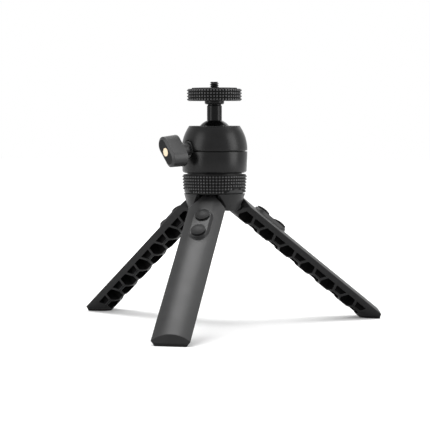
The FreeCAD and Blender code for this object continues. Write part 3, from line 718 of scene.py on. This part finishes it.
def makeCollar(settings):
    low, lipTop = levels("knurled_collar")
    high = lipTop - settings["lipHeight"]
    rimTop = settings["crest"] - knurlSettings["depth"] + settings["taper"] / 2
    rim = rimTop - settings["taper"] * settings["rows"]
    lip = settings["lip"]
    hole = settings["boltHole"]
    post = settings["post"]
    cavity = settings["cavity"]
    floor = low + settings["cavityFloor"]
    groove = low + settings["footGroove"]
    inner = rim - settings["grooveDepth"]
    steps = settings["rows"] * 2
    side = [Vector((rim, groove)).lerp((rimTop, high), step / steps) for step in range(steps + 1)]
    points = [(hole, low), (inner, low), (inner, groove)] + side
    points += [(lip, high), (lip, lipTop), (cavity, lipTop), (cavity, floor)]
    points += [(post, floor), (post, lipTop), (hole, lipTop)]
    bm = spun(points, settings["steps"])
    soften(bm, settings["edge"])

    def inWindow(spot):
        for azimuth in settings["ears"]:
            turned = Matrix.Rotation(math.radians(-azimuth), 4, "Z") @ spot
            across = turned.y / settings["windowHalf"]
            rise = settings["windowRise"] * (1 - across * across)
            if turned.x > 0 and abs(across) < 1 and spot.z < low + rise:
                return True
        return False

    paintRimShade(bm, rim, knurlSettings, inWindow)
    teeth = knurledRows(settings, low, high, knurlSettings)
    # A tooth goes whole where any of its points lies in a window
    doomed = set()
    todo = [vert for vert in teeth.verts if inWindow(vert.co)]
    while todo:
        vert = todo.pop()
        if vert not in doomed:
            doomed.add(vert)
            todo += [edge.other_vert(vert) for edge in vert.link_edges]
    bmesh.ops.delete(teeth, geom=list(doomed), context="VERTS")
    addShape(bm, teeth)
    collar = makePiece(
        "knurledCollar", bm, "hubMetal", "root", "knurled_collar", sharp=40)
    addFinishes(collar, "knurlGroovePaintedShade", "knurlPaintedHighlight")


makeWheel(wheelSettings)
makePad(padSettings)
makeCollar(collarSettings)
print("knurled rims made")


# Housing shells, turned, with the holes that the lock knob's screw goes through

housingSettings = {
    "boltHole": 3.03,
    "bottomRadius": 22.1,
    "topRadius": 22.6,
    "footChamfer": 0.9,
    "floor": 3.7,
    "bore": 16.8,
    "bossRadius": 6.0,
    "bossHeight": 8.0,
    "spigot": 18.45,
    "spigotPlay": 0.03,
    "seatLow": 1.2,
    "seatHigh": 2.4,
    "seatRadius": 17.65,
    "seamGap": 0.40,          # half the height of the dark line between the shells
    "seamDepth": 1.3,
    "domeRadius": 28.3,
    "domeSteps": 24,
    "rimRadius": 17.8,
    "rimRound": 0.7,
    "rimStart": 20,           # degrees from the level, where the dome runs into the rim
    "rimSteps": 4,
    "socket": 13.3,
    "socketSteps": 12,
    "knobPocket": (6.4, 20.0, 40.0),      # radius, then start and end from the ball's axis
    "bushHole": (4.23, 13.6, 21.0),
    "edge": 0.18,
    "steps": 128,
}


def bulge(start, end, radius, count):
    # Points on the outward arc from one point up to another
    a = Vector(start)
    b = Vector(end)
    way = b - a
    inward = Vector((-way.y, way.x)).normalized()
    centre = (a + b) / 2 + inward * math.sqrt(radius * radius - way.length_squared / 4)
    first = math.degrees(math.atan2(a.y - centre.y, a.x - centre.x))
    last = math.degrees(math.atan2(b.y - centre.y, b.x - centre.x))
    return arcPoints(centre, radius, first, last, count)


def holeTool(radius, start, end):
    # A rod along the lock knob's axis
    joint = joints["knob_turn"]
    turn = Vector(joint["axis"]).to_track_quat("Z", "Y").to_matrix().to_4x4()
    bm = bmesh.new()
    bmesh.ops.create_cone(
        bm, cap_ends=True, segments=64, radius1=radius, radius2=radius, depth=end - start,
        matrix=Matrix.Translation((0, 0, (start + end) / 2)))
    place(bm, Matrix.Translation(Vector(joint["pos_m"]) / mm) @ turn)
    return bm


def lowerSection(settings):
    bottom = levels("lower_housing")[0]
    seam = levels("upper_housing")[0]
    low = ballHeight - settings["seatLow"]
    gap = settings["seamGap"]
    outer = settings["topRadius"]
    deep = outer - settings["seamDepth"]
    hole = settings["boltHole"]
    foot = settings["bottomRadius"]
    chamfer = settings["footChamfer"]
    spigot = settings["spigot"]
    bore = settings["bore"]
    boss = settings["bossRadius"]
    bossTop = bottom + settings["bossHeight"]
    floor = bottom + settings["floor"]
    return [
        (hole, bottom), (foot - chamfer, bottom), (foot, bottom + chamfer), (outer, seam - gap),
        (deep, seam - gap), (deep, seam), (spigot, seam), (spigot, low), (bore, low),
        (bore, floor), (boss, floor), (boss, bossTop), (hole, bossTop),
    ]


def upperSection(settings):
    seam, top = levels("upper_housing")
    low = ballHeight - settings["seatLow"]
    high = ballHeight + settings["seatHigh"]
    gap = settings["seamGap"]
    outer = settings["topRadius"]
    deep = outer - settings["seamDepth"]
    inner = settings["spigot"] + settings["spigotPlay"]
    seat = settings["seatRadius"]
    socket = settings["socket"]
    bend = settings["rimRound"]
    rim = settings["rimRadius"]
    start = settings["rimStart"]
    mouth = math.degrees(math.asin((top - ballHeight) / socket))
    seatEdge = math.degrees(math.asin(settings["seatHigh"] / socket))
    points = [(inner, seam), (deep, seam), (deep, seam + gap)]
    points += bulge(
        (outer, seam + gap), (rim, top - bend), settings["domeRadius"], settings["domeSteps"])
    points += arcPoints((rim - bend, top - bend), bend, start, 90, settings["rimSteps"])
    points += arcPoints((0, ballHeight), socket, mouth, seatEdge, settings["socketSteps"])
    return points + [(seat, high), (seat, low), (inner, low)]


def makeHousing(settings):
    for name, points, node in (
        ("lowerHousing", lowerSection(settings), "lower_housing"),
        ("upperHousing", upperSection(settings), "upper_housing"),
    ):
        bm = spun(points, settings["steps"])
        soften(bm, settings["edge"])
        for hole in ("knobPocket", "bushHole"):
            bm = carved(bm, holeTool(*settings[hole]))
        makePiece(name, bm, "housingMetal", "root", node, sharp=30)


makeHousing(housingSettings)
print("housing made")


# Cast and moulded pieces: the frame's own shapes with rounded edges

softPieces = {
    # node: edge radius in mm, new name, finish, body, slot
    "hub": (0.40, "hubCasting", "hubMetal", "root", "hub_metal"),
    "lock_screw": (0.15, "lockScrew", "brass", "knob", "screw_brass"),
    "foot_pad_1": (0.30, "sole1", "soleRubber", "leg_1", "sole_rubber"),
    "foot_pad_2": (0.30, "sole2", "soleRubber", "leg_2", "sole_rubber"),
    "foot_pad_3": (0.30, "sole3", "soleRubber", "leg_3", "sole_rubber"),
}


def makeSoftPieces(table):
    for node, (width, name, finish, body, slot) in table.items():
        bm = merged(node)
        soften(bm, width)
        evenShading(makePiece(name, bm, finish, body, node, sharp=40))


knobSettings = {
    "edge": 0.30,
    "edgeSteps": 3,
    "faceDepth": 0.5,         # the end face, darker as painted shade, lies within this of the knob's far end
    "faceSquare": 0.99,       # and is as square to the knob's axis as this
}


def makeKnob(settings):
    bm = merged("lock_knob")
    soften(bm, settings["edge"], settings["edgeSteps"])
    bm.normal_update()
    axis = Vector(joints["knob_turn"]["axis"])
    far = max(vert.co.dot(axis) for vert in bm.verts)
    # The end face takes the second finish, painted shade
    for face in bm.faces:
        square = face.normal.dot(axis) > settings["faceSquare"]
        if square and face.calc_center_median().dot(axis) > far - settings["faceDepth"]:
            face.material_index = 1
    knob = makePiece("lockKnob", bm, "knobPlastic", "knob", "lock_knob", sharp=40)
    evenShading(addFinishes(knob, "knobEndPaintedShade"))


makeSoftPieces(softPieces)
makeKnob(knobSettings)
print("cast and moulded pieces made")


# Legs, each drawn about its hinge: X down the leg, Y across it, Z out of its outer face

legSettings = {
    "slope": 38.7,
    "outer": 7.8,             # the outer line's height over the hinge pin
    "flat": 1.0,              # degrees; flatter joins between faces are made whole
    "edge": 0.30,
    "hoodReach": 3.9,         # how far the outer line runs on past the hinge
    "hoodFloor": 6.6,         # only what lies further from the pin is the hood's outside
    "dimpleSpot": 2.4,        # past the hinge, on the outer line
    "dimpleRadius": 1.8,
    "dimpleDepth": 0.8,
    "dimpleSteps": 48,
    "pocketBand": 9.65,
    "pocketStart": 4.0,
    "pocketEnd": 124.0,
    "pocketRoof": 4.6,        # the pockets' closed end, over the hinge pin
    "roofSlack": 0.2,
    "roofLevel": 0.99,
    "wallSlack": 0.1,
    "wallLean": 0.02,
}


def legFrame(index, settings):
    spot = Vector(joints[f"leg_{index}_fold"]["pos_m"]) / mm
    turn = Matrix.Rotation(math.atan2(spot.y, spot.x), 4, "Z")
    lean = Matrix.Rotation(math.radians(settings["slope"]), 4, "Y")
    return Matrix.Translation(spot) @ (turn @ lean)


def dimpleTool(settings):
    cap = settings["dimpleRadius"]
    depth = settings["dimpleDepth"]
    steps = settings["dimpleSteps"]
    radius = (cap * cap + depth * depth) / (2 * depth)
    spot = Matrix.Translation((-settings["dimpleSpot"], 0, settings["outer"] + radius - depth))
    bm = bmesh.new()
    bmesh.ops.create_uvsphere(
        bm, u_segments=steps, v_segments=steps // 2, radius=radius, matrix=spot)
    return bm


def raiseHood(bm, settings):
    # The outer line runs on straight, then down a tangent to the round back of the hood
    half = math.atan2(settings["hoodReach"], settings["outer"])
    for vert in bm.verts:
        reach = math.hypot(vert.co.x, vert.co.z)
        angle = math.atan2(-vert.co.x, vert.co.z)
        if reach > settings["hoodFloor"] and 0 < angle < half * 2:
            grow = 1 / math.cos(min(angle, half * 2 - angle))
            vert.co.x *= grow
            vert.co.z *= grow


def inPocket(face, settings):
    # The walls stand square to the outer face, and the roofs lie level with it
    middle = face.calc_center_median()
    upright = face.normal.z
    start = settings["pocketStart"]
    inside = abs(middle.y) < settings["pocketBand"] and start < middle.x < settings["pocketEnd"]
    rise = middle.z - settings["pocketRoof"]
    wall = abs(upright) < settings["wallLean"] and rise < settings["wallSlack"]
    roof = upright < -settings["roofLevel"] and abs(rise) < settings["roofSlack"]
    return inside and (wall or roof)


def makeLeg(index, settings):
    stance = legFrame(index, settings)
    bm = merged(f"leg_{index}", settings["flat"])
    place(bm, stance.inverted())
    raiseHood(bm, settings)
    bm = carved(bm, dimpleTool(settings))
    soften(bm, settings["edge"], clamp=False)
    bm.normal_update()
    # The pocket walls and roofs take the second finish, painted shade
    for face in bm.faces:
        if inPocket(face, settings):
            face.material_index = 1
    place(bm, stance)
    node = f"leg_{index}"
    leg = makePiece(f"leg{index}", bm, "legPlastic", node, node, sharp=40)
    evenShading(addFinishes(leg, "pocketPaintedShade"))


# Keeper studs: low mushroom heads on the boss, two on each leg

studSettings = {
    "foot": 9.6,              # the boss's top over the hinge pin
    "neck": 4.1,
    "gap": 0.55,
    "radius": 5.0,
    "rim": 0.35,
    "rimStart": -60,          # degrees from the level, where the head's underside ends
    "rimSteps": 6,
    "dome": 0.85,
    "domeSteps": 12,
    "centre": 27.3,
    "spacing": 15.0,
    "steps": 64,
}


def makeStuds(index, settings):
    foot = settings["foot"]
    neck = settings["neck"]
    rim = settings["rim"]
    low = foot + settings["gap"]
    shoulder = settings["radius"] - rim
    dome = settings["dome"]
    crown = (shoulder * shoulder + dome * dome) / (2 * dome)
    spread = math.degrees(math.asin(shoulder / crown))
    points = [(0, foot), (neck, foot), (neck, low), (shoulder, low)]
    points += arcPoints((shoulder, low + rim), rim, settings["rimStart"], 90, settings["rimSteps"])
    dish = arcPoints(
        (0, low + rim * 2 + dome - crown), crown, 90 - spread, 90, settings["domeSteps"])
    points += dish[1:]
    both = bmesh.new()
    for side in (-0.5, 0.5):
        stud = spun(points, settings["steps"], closed=False)
        place(stud, Matrix.Translation((settings["centre"] + settings["spacing"] * side, 0, 0)))
        addShape(both, stud)
    place(both, legFrame(index, legSettings))
    makePiece(
        f"keeperStuds{index}", both, "studPlastic", f"leg_{index}",
        f"keeper_studs_{index}", sharp=30)


for index in (1, 2, 3):
    makeLeg(index, legSettings)
    makeStuds(index, studSettings)
print("legs made")


# Frame nodes get their finish here, whether they show or a piece stands for them

nodeFinish = {
    "ball_stem": "ballGloss",
    "camera_stud": "studSteel",
    "camera_pad": "padRubber",
    "lock_wheel": "knurlPaintedHighlight",
    "upper_housing": "housingMetal",
    "lower_housing": "housingMetal",
    "ball_seat_ring": "nylon",
    "ball_cup": "nylon",
    "friction_shoe": "nylon",
    "cup_spring": "steel",
    "lock_bush": "brass",
    "lock_screw": "brass",
    "lock_knob": "knobPlastic",
    "knurled_collar": "knurlPaintedHighlight",
    "hub": "hubMetal",
    "head_bolt": "steel",
    "collar_screws": "steel",
    "hinge_pin": "steel",
    "hinge_washers": "nylon",
    "keeper_studs": "studPlastic",
    "foot_pad": "soleRubber",
    "leg": "legPlastic",
}


def dressNodes(table):
    for name, node in nodes.items():
        family = name if name in table else name.rstrip("_123")
        node.material_slots[0].material = materials[table[family]]


dressNodes(nodeFinish)
print("nodes dressed")
